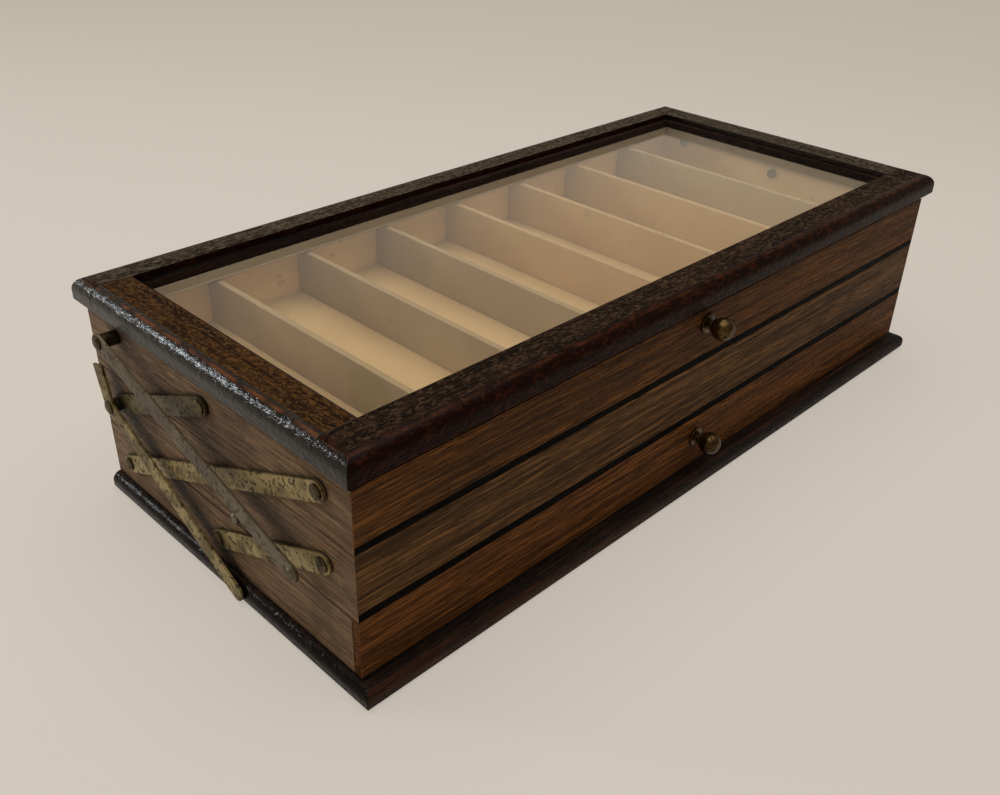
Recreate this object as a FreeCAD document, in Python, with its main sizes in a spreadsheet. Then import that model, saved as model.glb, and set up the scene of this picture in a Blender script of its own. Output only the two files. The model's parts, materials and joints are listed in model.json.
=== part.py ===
import FreeCAD, Part
import os
import re

import Sketcher

# Three-tier cantilever display case in oak with a glazed lid.
# X runs along the front, -Y is the front, Z is up. The origin lies under the middle of the tiers,
# on the plane that the case stands on. Sizes are in millimetres and degrees.

SIZES = [
    ("case_length", 610, "tiers, end to end"),
    ("case_depth", 275, "tiers, front to back"),
    ("wall", 11, "thickness of the tier boards"),
    ("base_thick", 13, "base board"),
    ("base_lip_front", 12, "base board in front of the tiers"),
    ("base_lip_end", 6.5, "base board past each end"),
    ("base_round_top", 6.5, "upper round of the base edge"),
    ("base_round_low", 3.5, "lower round of the base edge"),
    ("bottom_tall", 41, "bottom tier"),
    ("middle_tall", 45.5, "middle tray"),
    ("top_tall", 41, "top tray"),
    ("tier_gap", 0.3, "seam between two tiers"),
    ("panel_thick", 5, "bottom panel of a tray"),
    ("lining_thick", 0.8, "card lining"),
    ("lining_drop", 1.5, "lining below the rim"),
    ("partition_thick", 4.5, "partition board"),
    ("partition_drop", 1, "partition below the rim"),
    ("partition_count", 7, "partitions in a tray"),
    ("lid_thick", 21, "lid frame"),
    ("lid_lip", 5.5, "lid frame past the tray all round"),
    ("lid_round", 9, "upper round of the lid edge"),
    ("lid_bevel", 5.8, "bevel under the lid edge"),
    ("sight_width", 24, "frame face inside the tray line, front and ends"),
    ("sight_back", 20, "frame face inside the tray line, back"),
    ("ledge_width", 5, "ledge that carries the glass"),
    ("glass_depth", 10, "glass below the lid's top"),
    ("glass_thick", 3, "glass pane"),
    ("glass_clear", 0.4, "room around the glass"),
    ("bead_drop", 4.5, "glazing bead below the lid's top"),
    ("drawer_face", 6, "drawer front"),
    ("drawer_board", 8, "drawer box boards"),
    ("drawer_base", 4, "drawer bottom panel"),
    ("drawer_tall", 32, "drawer box"),
    ("drawer_clear", 0.5, "running gap of the drawer"),
    ("drawer_tail", 6, "room behind the drawer"),
    ("runner_width", 6, "drawer runner"),
    ("runner_tall", 9, "drawer runner"),
    ("knob_ball", 16, "knob ball diameter"),
    ("knob_stem", 6.2, "knob from the front face to the ball"),
    ("knob_flange", 14, "knob flange diameter"),
    ("knob_collar", 10, "knob collar diameter"),
    ("knob_neck", 7, "knob neck diameter"),
    ("knob_flat", 5, "flat on the ball's end, diameter"),
    ("knob_step", 1.8, "flange thickness"),
    ("knob_drop_top", 11, "top knob below the tray rim"),
    ("knob_drop_drawer", 17, "drawer knob below the tier rim"),
    ("knob_shift_top", -5, "top knob from the middle"),
    ("screw_thread", 4, "knob screw diameter"),
    ("screw_head", 8, "knob screw head diameter"),
    ("screw_sink", 2.5, "depth of the knob screw's head"),
    ("screw_bite", 6, "knob screw inside the knob"),
    ("pivot_inset", 26, "outer pivots from the front and back faces"),
    ("pivot_low", 19.5, "bottom pivots above the base board"),
    ("pivot_rise", 48, "one tier's pivots above the next"),
    ("link_width", 13, "link bar"),
    ("link_thick", 2, "link bar"),
    ("link_gap", 0.8, "link bar off the end face"),
    ("leg_width", 12, "leg bar"),
    ("leg_low_gap", 7.2, "middle tray's leg off the end face"),
    ("leg_high_gap", 11.1, "top tray's leg off the end face"),
    ("middle_leg_reach", 160, "middle tray's leg, pivot to tip"),
    ("middle_leg_droop", 28, "middle tray's leg below the level"),
    ("middle_leg_tail", 30, "middle tray's leg above the pivot"),
    ("middle_leg_crank", 48.7, "bend between tail and leg"),
    ("top_leg_reach", 206, "top tray's leg, pivot to lower rivet"),
    ("top_leg_droop", 18, "top tray's leg below the level"),
    ("top_leg_inset", 37, "top leg's pivot from the back face"),
    ("top_leg_drop", 7, "top leg's pivot below the rim"),
    ("rivet_head", 8, "head of the rivet in a leg's end, diameter"),
    ("rivet_thick", 0.9, "head of the rivet in a leg's end"),
    ("pin_size", 5, "pivot bolt diameter"),
    ("pin_clear", 0.05, "running gap round a bolt"),
    ("head_size", 9.5, "bolt head diameter"),
    ("head_thick", 1.6, "bolt head"),
    ("face_gap", 0.1, "bolt head off the bar"),
    ("washer_size", 11, "washer diameter"),
    ("nut_size", 9, "nut across corners"),
    ("nut_thick", 3, "nut"),
    ("bolt_tail", 1.5, "bolt past the nut and lining"),
    ("stop_size", 7, "stop screw head diameter"),
    ("stop_reach", 29.5, "stop screw from the middle pivot"),
    ("open_swing", 92, "turn of the links when the case is open"),
    ("hinge_long", 50, "lid hinge"),
    ("hinge_place", 200, "lid hinge from the middle"),
    ("hinge_leaf", 1.2, "hinge leaf thickness"),
    ("hinge_wide", 9, "hinge leaf on the board"),
    ("hinge_out", 3, "hinge axis behind the tray"),
    ("hinge_drop", 0.6, "hinge axis below the lid"),
    ("knuckle_size", 5.4, "hinge knuckle diameter"),
    ("hinge_pin", 2.4, "hinge pin diameter"),
    ("knuckle_gap", 0.3, "room between knuckles"),
    ("mortise_clear", 0.1, "room round a let-in leaf"),
]

# Levels, faces and pivots that follow from the driving sizes.
DERIVED = {
    "half": "case_length / 2",
    "front": "-case_depth / 2",
    "back": "case_depth / 2",
    "bottom_high": "base_thick + bottom_tall",
    "middle_low": "bottom_high + tier_gap",
    "middle_high": "middle_low + middle_tall",
    "top_low": "middle_high + tier_gap",
    "top_high": "top_low + top_tall",
    "lid_low": "top_high + tier_gap",
    "lid_high": "lid_low + lid_thick",
    "ledge_high": "lid_high - glass_depth - glass_thick",
    "inner_x": "half - wall - lining_thick",
    "inner_front": "front + wall + lining_thick",
    "inner_back": "back - wall - lining_thick",
    "pitch": "(2 * inner_x + partition_thick) / (partition_count + 1)",
    "drawer_low": "base_thick + drawer_clear",
    "drawer_high": "drawer_low + drawer_tall",
    "drawer_x": "half - wall - runner_width - drawer_clear",
    "drawer_in": "front + drawer_face + drawer_board",
    "drawer_end": "back - wall - drawer_tail",
    "pivot_bottom": "base_thick + pivot_low",
    "pivot_middle": "pivot_bottom + pivot_rise",
    "pivot_top": "pivot_middle + pivot_rise",
    "pivot_back": "back - pivot_inset",
    "pivot_front": "front + pivot_inset",
    "link_run": "case_depth / 2 - pivot_inset",
    "link_out": "half + link_gap",
    "link_top": "link_out + link_thick",
    "leg_low": "half + leg_low_gap",
    "leg_high": "half + leg_high_gap",
    "leg_pivot_y": "back - top_leg_inset",
    "leg_pivot_z": "top_high - top_leg_drop",
    "leg_end_y": "leg_pivot_y - top_leg_reach * cos(top_leg_droop)",
    "leg_end_z": "leg_pivot_z - top_leg_reach * sin(top_leg_droop)",
    "ball": "knob_ball / 2",
    "throat": "knob_neck / 2 + knob_step / 3",
    "knob_tip": "knob_stem + sqrt(ball ^ 2 - throat ^ 2) + sqrt(ball ^ 2 - knob_flat ^ 2 / 4)",
    "pin": "pin_size / 2",
    "hole": "pin_size / 2 + pin_clear",
    "stop_turn": "asin((link_width / 2 + stop_size / 2 + face_gap) / stop_reach)",
    "stop_angle": "atan2(pivot_rise; link_run) + open_swing * 1 deg + stop_turn",
    "stop_y": "stop_reach * cos(stop_angle)",
    "stop_z": "pivot_middle - stop_reach * sin(stop_angle)",
    "hinge_y": "back + hinge_out",
    "hinge_z": "lid_low - hinge_drop",
    "knuckle": "knuckle_size / 2",
}

NAMES = {name for name, _, _ in SIZES}
WORD = re.compile(r"[a-z_]+")
ENDS = {"left": -1, "right": 1}

doc = FreeCAD.newDocument("display_case")
sheet = doc.addObject("Spreadsheet::Sheet", "Sizes")
for row, (name, size, note) in enumerate(SIZES, start=1):
    sheet.set("A%d" % row, name)
    sheet.set("B%d" % row, str(size))
    sheet.setAlias("B%d" % row, name)
    sheet.set("C%d" % row, note)
doc.recompute()

pieces = []


def spell(text):
    """An expression on the sheet, with the derived names written out."""
    text = str(text)
    while any(word in DERIVED for word in WORD.findall(text)):
        text = WORD.sub(lambda m: "(%s)" % DERIVED[m.group()] if m.group() in DERIVED else m.group(), text)
    return WORD.sub(lambda m: "Sizes." + m.group() if m.group() in NAMES else m.group(), text)


def number(text):
    return float(sheet.evalExpression(spell(text)))


def piece(item):
    pieces.append(item)
    return item


def bind(item, **properties):
    for name, text in properties.items():
        item.setExpression(name.replace("__", "."), spell(text))
    return item


def block(name, x, y, z):
    """A board between pairs of X, Y and Z faces."""
    item = doc.addObject("Part::Box", name)
    bind(item, Length="(%s) - (%s)" % (x[1], x[0]), Width="(%s) - (%s)" % (y[1], y[0]))
    bind(item, Height="(%s) - (%s)" % (z[1], z[0]))
    return bind(item, Placement__Base__x=x[0], Placement__Base__y=y[0], Placement__Base__z=z[0])


def rod(name, axis, radius, start, end, at):
    """A round bar along X or Y between two faces; at holds its other two coordinates."""
    item = doc.addObject("Part::Cylinder", name)
    along = FreeCAD.Vector(1, 0, 0) if axis == "x" else FreeCAD.Vector(0, 1, 0)
    item.Placement = FreeCAD.Placement(
        FreeCAD.Vector(), FreeCAD.Rotation(FreeCAD.Vector(0, 0, 1), along))
    bind(item, Radius=radius, Height="(%s) - (%s)" % (end, start))
    base = (start, at[0], at[1]) if axis == "x" else (at[0], start, at[1])
    return bind(item, Placement__Base__x=base[0], Placement__Base__y=base[1], Placement__Base__z=base[2])


def reach(side, near, far):
    """Two X faces at one end of the case, the lower one first."""
    faces = ("%d * (%s)" % (side, near), "%d * (%s)" % (side, far))
    return faces if side > 0 else faces[::-1]


def cut(name, base, tools):
    item = doc.addObject("Part::Cut", name)
    item.Base = base
    item.Tool = tools[0] if len(tools) == 1 else fuse(name + "_tools", tools)
    return item


def fuse(name, members):
    item = doc.addObject("Part::MultiFuse", name)
    item.Shapes = members
    return item


def group(name, members):
    """Separate solids of one kind that share a node."""
    item = doc.addObject("Part::Compound", name)
    item.Links = members
    return item


def sketch_on(body, role, offset):
    plane = next(f for f in body.Origin.OriginFeatures if f.Role == role)
    sketch = body.newObject("Sketcher::SketchObject", body.Name + "_outline")
    sketch.AttachmentSupport = [(plane, "")]
    sketch.MapMode = "FlatFace"
    return bind(sketch, AttachmentOffset__Base__z=offset)


def limit(sketch, constraint, text):
    """A constraint bound to an expression."""
    index = sketch.addConstraint(constraint)
    sketch.setExpression("Constraints[%d]" % index, spell(text))


def outline(sketch, corners):
    """A closed outline; a corner with a third entry starts an arc of that radius, turning left."""
    places = [FreeCAD.Vector(number(c[0]), number(c[1]), 0) for c in corners]
    last = len(corners) - 1
    for i, corner in enumerate(corners):
        start, end = places[i], places[0 if i == last else i + 1]
        if len(corner) == 2:
            sketch.addGeometry(Part.LineSegment(start, end))
            continue
        radius, chord = number(corner[2]), end - start
        middle = (start + end) / 2
        left = FreeCAD.Vector(-chord.y, chord.x, 0).normalize()
        centre = middle + left * (radius ** 2 - (chord.Length / 2) ** 2) ** 0.5
        sketch.addGeometry(Part.Arc(start, centre - left * radius, end))
    for i, corner in enumerate(corners):
        sketch.addConstraint(Sketcher.Constraint("Coincident", i, 2, 0 if i == last else i + 1, 1))
        if len(corner) == 3:
            limit(sketch, Sketcher.Constraint("Radius", i, number(corner[2])), corner[2])
    for i, corner in enumerate(corners):
        limit(sketch, Sketcher.Constraint("DistanceX", -1, 1, i, 1, places[i].x), corner[0])
        limit(sketch, Sketcher.Constraint("DistanceY", -1, 1, i, 1, places[i].y), corner[1])


def pad(body, sketch, thick):
    item = body.newObject("PartDesign::Pad", body.Name + "_pad")
    item.Profile = sketch
    return bind(item, Length=thick)


def plate(name, corners, low, thick, role="XY_Plane"):
    """A flat piece: an outline on a plane, with a thickness."""
    body = doc.addObject("PartDesign::Body", name)
    sketch = sketch_on(body, role, low)
    outline(sketch, corners)
    pad(body, sketch, thick)
    return body


def turned(name, corners, role, axis, base):
    """A turned piece: an outline spun about a sketch axis, at a place."""
    body = doc.addObject("PartDesign::Body", name)
    sketch = sketch_on(body, role, "0")
    outline(sketch, corners)
    spin = body.newObject("PartDesign::Revolution", name + "_spin")
    spin.Profile = sketch
    spin.ReferenceAxis = (sketch, [axis])
    spin.Angle = 360
    bind(body, Placement__Base__x=base[0], Placement__Base__y=base[1], Placement__Base__z=base[2])
    return body


def soften(body, kind, size, *planes):
    """Round or bevel the edges that lie in a level and in one of some upright faces."""
    doc.recompute()
    before = body.Tip
    level, uprights = planes[0], planes[1:]

    def lies(edge, plane):
        letter, text = plane
        return all(abs(getattr(v.Point, letter) - number(text)) < 1e-4 for v in edge.Vertexes)

    names = ["Edge%d" % (i + 1) for i, edge in enumerate(before.Shape.Edges)
             if lies(edge, level) and any(lies(edge, upright) for upright in uprights)]
    item = body.newObject("PartDesign::" + kind, body.Name + "_" + kind.lower())
    item.Base = (before, names)
    return bind(item, **{"Radius" if kind == "Fillet" else "Size": size})


def base():
    """Moulded base board, with the rounded lip on the front and ends."""
    end, lip = "half + base_lip_end", "front - base_lip_front"
    corners = [("-(%s)" % end, lip), (end, lip), (end, "back"), ("-(%s)" % end, "back")]
    board = plate("base_board", corners, "0", "base_thick")
    sides = [("y", lip), ("x", end), ("x", "-(%s)" % end)]
    soften(board, "Fillet", "base_round_top", ("z", "base_thick"), *sides)
    soften(board, "Fillet", "base_round_low", ("z", "0"), *sides)
    piece(board)


def front_corners(side):
    """Plan of a mitred front (-1) or back (1) board."""
    outer, inner = "%d * back" % side, "%d * (back - wall)" % side
    corners = [("-half", outer), ("half", outer), ("half - wall", inner), ("wall - half", inner)]
    return corners if side < 0 else corners[::-1]


def end_corners(side, front_cut=None):
    """Plan of a left (-1) or right (1) end board, mitred, or square at a cut front."""
    outer, inner = "%d * half" % side, "%d * (half - wall)" % side
    nose = [(outer, front_cut or "front"), (inner, front_cut or "front + wall")]
    return nose + [(inner, "back - wall"), (outer, "back")]


def bolt_holes(name, side, places):
    x = reach(side, "half - wall - 1", "half + 1")
    return [rod("%s_hole%d" % (name, i), "x", "hole", x[0], x[1], at) for i, at in enumerate(places)]


def lining(name, x, y, z, holes):
    """Card lining: a floor and four walls; holes are rods that pass the end walls."""
    floor = block(name + "_floor", ("-(%s)" % x, x), y, (z[0], "%s + lining_thick" % z[0]))
    tall = ("%s + lining_thick" % z[0], "%s - lining_drop" % z[1])
    near = block(name + "_front", ("-(%s)" % x, x), (y[0], "%s + lining_thick" % y[0]), tall)
    far = block(name + "_back", ("-(%s)" % x, x), ("%s - lining_thick" % y[1], y[1]), tall)
    between = ("%s + lining_thick" % y[0], "%s - lining_thick" % y[1])
    ends = [block("%s_%s" % (name, end), reach(side, "%s - lining_thick" % x, x), between, tall)
            for end, side in ENDS.items()]
    cards = [near, far] + ends
    if holes:
        cards = [cut(card.Name + "_cut", card, holes[card.Name]) if card.Name in holes else card
                 for card in cards]
    piece(group(name, [floor] + cards))


def partitions(name, floor, rim):
    """Cross boards that part a tray into equal compartments."""
    boards = []
    for i in range(1, int(number("partition_count")) + 1):
        high = "%d * pitch - inner_x" % i
        boards.append(block("%s_%d" % (name, i), ("%s - partition_thick" % high, high),
                            ("inner_front", "inner_back"),
                            ("%s + lining_thick" % floor, "%s - partition_drop" % rim)))
    piece(group(name, boards))


def bottom_tier():
    """Carcase that holds the drawer, with its runners."""
    places = [("pivot_back", "pivot_bottom"), ("0", "pivot_bottom")]
    for end, side in ENDS.items():
        name = "bottom_end_" + end
        corners = end_corners(side, "front + drawer_face + drawer_clear")
        board = plate(name + "_blank", corners, "base_thick", "bottom_tall")
        piece(cut(name, board, bolt_holes(name, side, places)))
    piece(plate("bottom_back", front_corners(1), "base_thick", "bottom_tall"))
    strips = [block("drawer_runner_" + end, reach(side, "half - wall - runner_width", "half - wall"),
                    ("drawer_in", "back - wall"), ("base_thick", "base_thick + runner_tall"))
              for end, side in ENDS.items()]
    piece(group("drawer_runners", strips))


def knob(name, x, face, z):
    """Turned ball knob with a flange, neck and collar, bored for its screw."""
    bore = "screw_thread / 2"
    corners = [
        (bore, "0"), (bore, "-screw_bite"), ("0", "-screw_bite"), ("0", "-knob_tip"),
        ("knob_flat / 2", "-knob_tip", "ball"), ("throat", "-knob_stem"),
        ("knob_collar / 2", "-0.97 * knob_stem"), ("knob_collar / 2", "-0.88 * knob_stem"),
        ("knob_neck / 2", "-0.78 * knob_stem"), ("knob_neck / 2", "-0.48 * knob_stem"),
        ("knob_collar / 2", "-0.36 * knob_stem"), ("knob_flange / 2", "-knob_step"),
        ("knob_flange / 2", "0"),
    ]
    piece(turned(name, corners, "XY_Plane", "V_Axis", (x, face, z)))


def knob_screw(name, x, face, inside, z):
    """Screw that holds a knob from within, its head sunk in the board."""
    seat = "%s - screw_sink" % inside
    shank = rod(name + "_shank", "y", "screw_thread / 2", "%s - screw_bite" % face, seat, (x, z))
    head = rod(name + "_head", "y", "screw_head / 2", seat, inside, (x, z))
    piece(fuse(name, [shank, head]))


def screw_bores(name, x, face, inside, z):
    """Hole and head recess for a knob screw."""
    shank = "screw_thread / 2 + pin_clear"
    head = "screw_head / 2 + pin_clear"
    seat = "%s - screw_sink" % inside
    return [rod(name + "_bore", "y", shank, "%s - 1" % face, "%s + 1" % inside, (x, z)),
            rod(name + "_sink", "y", head, seat, "%s + 1" % inside, (x, z))]


def drawer():
    """Box that runs out of the bottom tier behind a full-width front."""
    z = "bottom_high - knob_drop_drawer"
    face = ("front", "front + drawer_face")
    bores = screw_bores("drawer", "0", "front", "drawer_in", z)
    board = block("drawer_front_blank", ("-half", "half"), face, ("drawer_low", "bottom_high"))
    piece(cut("drawer_front", board, bores[:1]))
    box = ("drawer_low", "drawer_high")
    board = block("drawer_inner_blank", ("-drawer_x", "drawer_x"), (face[1], "drawer_in"), box)
    piece(cut("drawer_inner_front", board, bores))
    inner = "drawer_x - drawer_board"
    sides = [block("drawer_side_" + end, reach(side, inner, "drawer_x"), ("drawer_in", "drawer_end"), box)
             for end, side in ENDS.items()]
    piece(group("drawer_sides", sides))
    piece(block("drawer_back", ("-(%s)" % inner, inner), ("drawer_end - drawer_board", "drawer_end"), box))
    deep = ("drawer_in", "drawer_end - drawer_board")
    piece(block("drawer_bottom", ("-(%s)" % inner, inner), deep, ("drawer_low", "drawer_low + drawer_base")))
    lining("drawer_lining", inner, deep, ("drawer_low + drawer_base", "drawer_high"), {})
    knob("drawer_knob", "0", "front", z)
    knob_screw("drawer_knob_screw", "0", "front", "drawer_in", z)


def tray(name, low, high, panel_corners, ends_low, places, bores):
    """Open tray of four mitred boards over a thin bottom panel, lined and parted."""
    floor = "%s + panel_thick" % low
    for end, side in ENDS.items():
        board = "%s_end_%s" % (name, end)
        blank = plate(board + "_blank", end_corners(side), ends_low, "%s - (%s)" % (high, ends_low))
        piece(cut(board, blank, bolt_holes(board, side, places)))
    for wall_name, side in (("front", -1), ("back", 1)):
        board = "%s_%s" % (name, wall_name)
        tools = bores.get(wall_name)
        blank = plate(board + "_blank" if tools else board, front_corners(side), floor,
                      "%s - (%s)" % (high, floor))
        piece(cut(board, blank, tools) if tools else blank)
    piece(plate(name + "_bottom", panel_corners, low, "panel_thick"))
    card = name + "_lining"
    holes = {"%s_%s" % (card, end): bolt_holes("%s_%s" % (card, end), side, places)
             for end, side in ENDS.items()}
    lining(card, "half - wall", ("front + wall", "back - wall"), (floor, high), holes)
    partitions(name + "_partitions", floor, high)


def middle_tray():
    """Middle tray, its panel nailed on under all four boards."""
    corners = [("-half", "front"), ("half", "front"), ("half", "back"), ("-half", "back")]
    places = [("pivot_back", "pivot_middle"), ("0", "pivot_middle"), ("pivot_front", "pivot_middle")]
    tray("middle", "middle_low", "middle_high", corners, "middle_low + panel_thick", places, {})


def top_tray():
    """Top tray, its panel let in between the end boards."""
    corners = front_corners(-1)[:3] + [("half - wall", "back - wall"), ("half", "back"),
                                       ("-half", "back"), ("wall - half", "back - wall"),
                                       ("wall - half", "front + wall")]
    places = [("0", "pivot_top"), ("pivot_front", "pivot_top"), ("leg_pivot_y", "leg_pivot_z")]
    x, z = "knob_shift_top", "top_high - knob_drop_top"
    bores = screw_bores("top", x, "front", "front + wall", z)
    beds = [block("hinge_bed_%s" % end, hinge_span(side, "-mortise_clear", "hinge_long + mortise_clear"),
                  ("back - hinge_wide - mortise_clear", "back + 1"),
                  ("top_high - hinge_leaf - mortise_clear", "top_high + 1"))
            for end, side in ENDS.items()]
    tray("top", "top_low", "top_high", corners, "top_low", places, {"front": bores, "back": beds})
    knob("top_knob", x, "front", z)
    knob_screw("top_knob_screw", x, "front", "front + wall", z)


def rail(name, side, sight, beds):
    """Full-length lid rail with a rounded edge on three sides and a ledge for the glass."""
    outer, ledge = "%d * (back + lid_lip)" % side, "%d * (back - %s - ledge_width)" % (side, sight)
    edge, end = "%d * (back - %s)" % (side, sight), "half + lid_lip"
    corners = [(outer, "lid_low"), (ledge, "lid_low"), (ledge, "ledge_high"), (edge, "ledge_high"),
               (edge, "lid_high"), (outer, "lid_high")]
    board = plate(name if not beds else name + "_blank", corners, "-(%s)" % end, "2 * (%s)" % end, "YZ_Plane")
    sides = [("y", outer), ("x", end), ("x", "-(%s)" % end)]
    soften(board, "Fillet", "lid_round", ("z", "lid_high"), *sides)
    soften(board, "Chamfer", "lid_bevel", ("z", "lid_low"), *sides)
    piece(cut(name, board, beds) if beds else board)


def stile(name, side):
    """Short lid rail, butted between the long ones and notched over their ledges."""
    outer, edge = "%d * (half + lid_lip)" % side, "%d * (half - sight_width)" % side
    ledge = "%d * (half - sight_width - ledge_width)" % side
    near, far = "front + sight_width", "back - sight_back"
    body = doc.addObject("PartDesign::Body", name)
    upper = sketch_on(body, "XY_Plane", "ledge_high")
    outline(upper, [(outer, near), (edge, near), (edge, far), (outer, far)])
    pad(body, upper, "lid_high - ledge_high")
    lower = sketch_on(body, "XY_Plane", "lid_low")
    near, far = near + " + ledge_width", far + " - ledge_width"
    outline(lower, [(outer, near), (ledge, near), (ledge, far), (outer, far)])
    pad(body, lower, "ledge_high - lid_low")
    soften(body, "Fillet", "lid_round", ("z", "lid_high"), ("x", outer))
    soften(body, "Chamfer", "lid_bevel", ("z", "lid_low"), ("x", outer))
    piece(body)


def lid():
    """Glazed lid: frame, pane and beads."""
    beds = [block("leaf_bed_%s" % end, hinge_span(side, "-mortise_clear", "hinge_long + mortise_clear"),
                  ("back - hinge_wide - mortise_clear", "back + 1"),
                  ("lid_low - 1", "lid_low + hinge_leaf + mortise_clear"))
            for end, side in ENDS.items()]
    rail("lid_rail_front", -1, "sight_width", [])
    rail("lid_rail_back", 1, "sight_back", beds)
    for end, side in ENDS.items():
        stile("lid_stile_" + end, side)
    x, near, far = "half - sight_width", "front + sight_width", "back - sight_back"
    low, tall = "ledge_high + glass_thick", "glass_depth - bead_drop"
    piece(block("glass_pane", ("glass_clear - (%s)" % x, "%s - glass_clear" % x),
                ("%s + glass_clear" % near, "%s - glass_clear" % far), ("ledge_high", low)))
    strips = []
    for word, y, turn in (("front", near, 1), ("back", far, -1)):
        inner = "%s + %d * ledge_width" % (y, turn)
        corners = [("-(%s)" % x, y), (x, y), ("%s - ledge_width" % x, inner),
                   ("ledge_width - (%s)" % x, inner)]
        strips.append(plate("bead_" + word, corners if turn > 0 else corners[::-1], low, tall))
    for end, side in ENDS.items():
        outer, inner = "%d * (%s)" % (side, x), "%d * (%s - ledge_width)" % (side, x)
        strips.append(plate("bead_" + end, [(outer, near), (inner, near + " + ledge_width"),
                                            (inner, far + " - ledge_width"), (outer, far)], low, tall))
    piece(group("glazing_beads", strips))


def hinge_span(side, start, end):
    """X faces along one lid hinge, counted from its left end."""
    left = "%d * hinge_place - hinge_long / 2" % side
    return ("%s + %s" % (left, start), "%s + %s" % (left, end))


def hinge_half(name, side, z, spans):
    """One hinge leaf with its knuckles, bored for the pin."""
    parts = [block(name + "_leaf", hinge_span(side, "0", "hinge_long"), ("back - hinge_wide", "back"), z)]
    for i, span in enumerate(spans):
        x = hinge_span(side, *span)
        parts.append(block("%s_lug%d" % (name, i), x, ("back - 1", "hinge_y"), z))
        parts.append(rod("%s_knuckle%d" % (name, i), "x", "knuckle", x[0], x[1], ("hinge_y", "hinge_z")))
    x = hinge_span(side, "-1", "hinge_long + 1")
    bore = rod(name + "_bore", "x", "hinge_pin / 2 + pin_clear", x[0], x[1], ("hinge_y", "hinge_z"))
    return cut(name, fuse(name + "_blank", parts), [bore])


def lid_hinges():
    """Two let-in butt hinges at the back of the lid."""
    third = "hinge_long / 3"
    outer = [("0", third + " - knuckle_gap"), ("2 * %s + knuckle_gap" % third, "hinge_long")]
    inner = [(third, "2 * " + third)]
    low, high = ("top_high - hinge_leaf", "top_high"), ("lid_low", "lid_low + hinge_leaf")
    piece(group("tray_hinge_leaves", [hinge_half("tray_leaf_" + e, s, low, outer) for e, s in ENDS.items()]))
    piece(group("lid_hinge_leaves", [hinge_half("lid_leaf_" + e, s, high, inner) for e, s in ENDS.items()]))
    pins = []
    for end, side in ENDS.items():
        x = hinge_span(side, "0", "hinge_long")
        pins.append(rod("hinge_pin_" + end, "x", "hinge_pin / 2", x[0], x[1], ("hinge_y", "hinge_z")))
    piece(group("hinge_pins", pins))


def strap(name, start, end, width, holes, low, thick):
    """A flat bar with round ends about two points, and bolt holes."""
    body = doc.addObject("PartDesign::Body", name)
    sketch = sketch_on(body, "YZ_Plane", low)
    a = FreeCAD.Vector(number(start[0]), number(start[1]), 0)
    b = FreeCAD.Vector(number(end[0]), number(end[1]), 0)
    radius = number(width) / 2
    along = (b - a).normalize()
    across = FreeCAD.Vector(-along.y, along.x, 0) * radius
    sketch.addGeometry(Part.Arc(a + across, a - along * radius, a - across))
    sketch.addGeometry(Part.LineSegment(a - across, b - across))
    sketch.addGeometry(Part.Arc(b - across, b + along * radius, b + across))
    sketch.addGeometry(Part.LineSegment(b + across, a + across))
    for i in range(4):
        sketch.addConstraint(Sketcher.Constraint("Tangent", i, 2, (i + 1) % 4, 1))
    for arc, place, point in ((0, start, a), (2, end, b)):
        limit(sketch, Sketcher.Constraint("Radius", arc, radius), "%s / 2" % width)
        limit(sketch, Sketcher.Constraint("DistanceX", -1, 1, arc, 3, point.x), place[0])
        limit(sketch, Sketcher.Constraint("DistanceY", -1, 1, arc, 3, point.y), place[1])
    for i, place in enumerate(holes, start=4):
        spot = FreeCAD.Vector(number(place[0]), number(place[1]), 0)
        sketch.addGeometry(Part.Circle(spot, FreeCAD.Vector(0, 0, 1), number("hole")))
        limit(sketch, Sketcher.Constraint("Radius", i, number("hole")), "hole")
        limit(sketch, Sketcher.Constraint("DistanceX", -1, 1, i, 3, spot.x), place[0])
        limit(sketch, Sketcher.Constraint("DistanceY", -1, 1, i, 3, spot.y), place[1])
    pad(body, sketch, thick)
    piece(body)


def layer(side, face):
    """Lower X face of a bar that lies off one end of the case."""
    return face if side > 0 else "-(%s) - link_thick" % face


def links():
    """Parallel cantilever links: a long one, and two of half its length, at each end."""
    back_low, back_mid = ("pivot_back", "pivot_bottom"), ("pivot_back", "pivot_middle")
    mid_low, mid_mid, mid_top = [("0", z) for z in ("pivot_bottom", "pivot_middle", "pivot_top")]
    front_mid, front_top = ("pivot_front", "pivot_middle"), ("pivot_front", "pivot_top")
    bars = {
        "long_link": (back_low, front_top, [back_low, mid_mid, front_top]),
        "lower_link": (mid_low, front_mid, [mid_low, front_mid]),
        "upper_link": (back_mid, mid_top, [back_mid, mid_top]),
    }
    for bar, (start, end, holes) in bars.items():
        for word, side in ENDS.items():
            name, low = "%s_%s" % (bar, word), layer(side, "link_out")
            strap(name, start, end, "link_width", holes, low, "link_thick")


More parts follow.
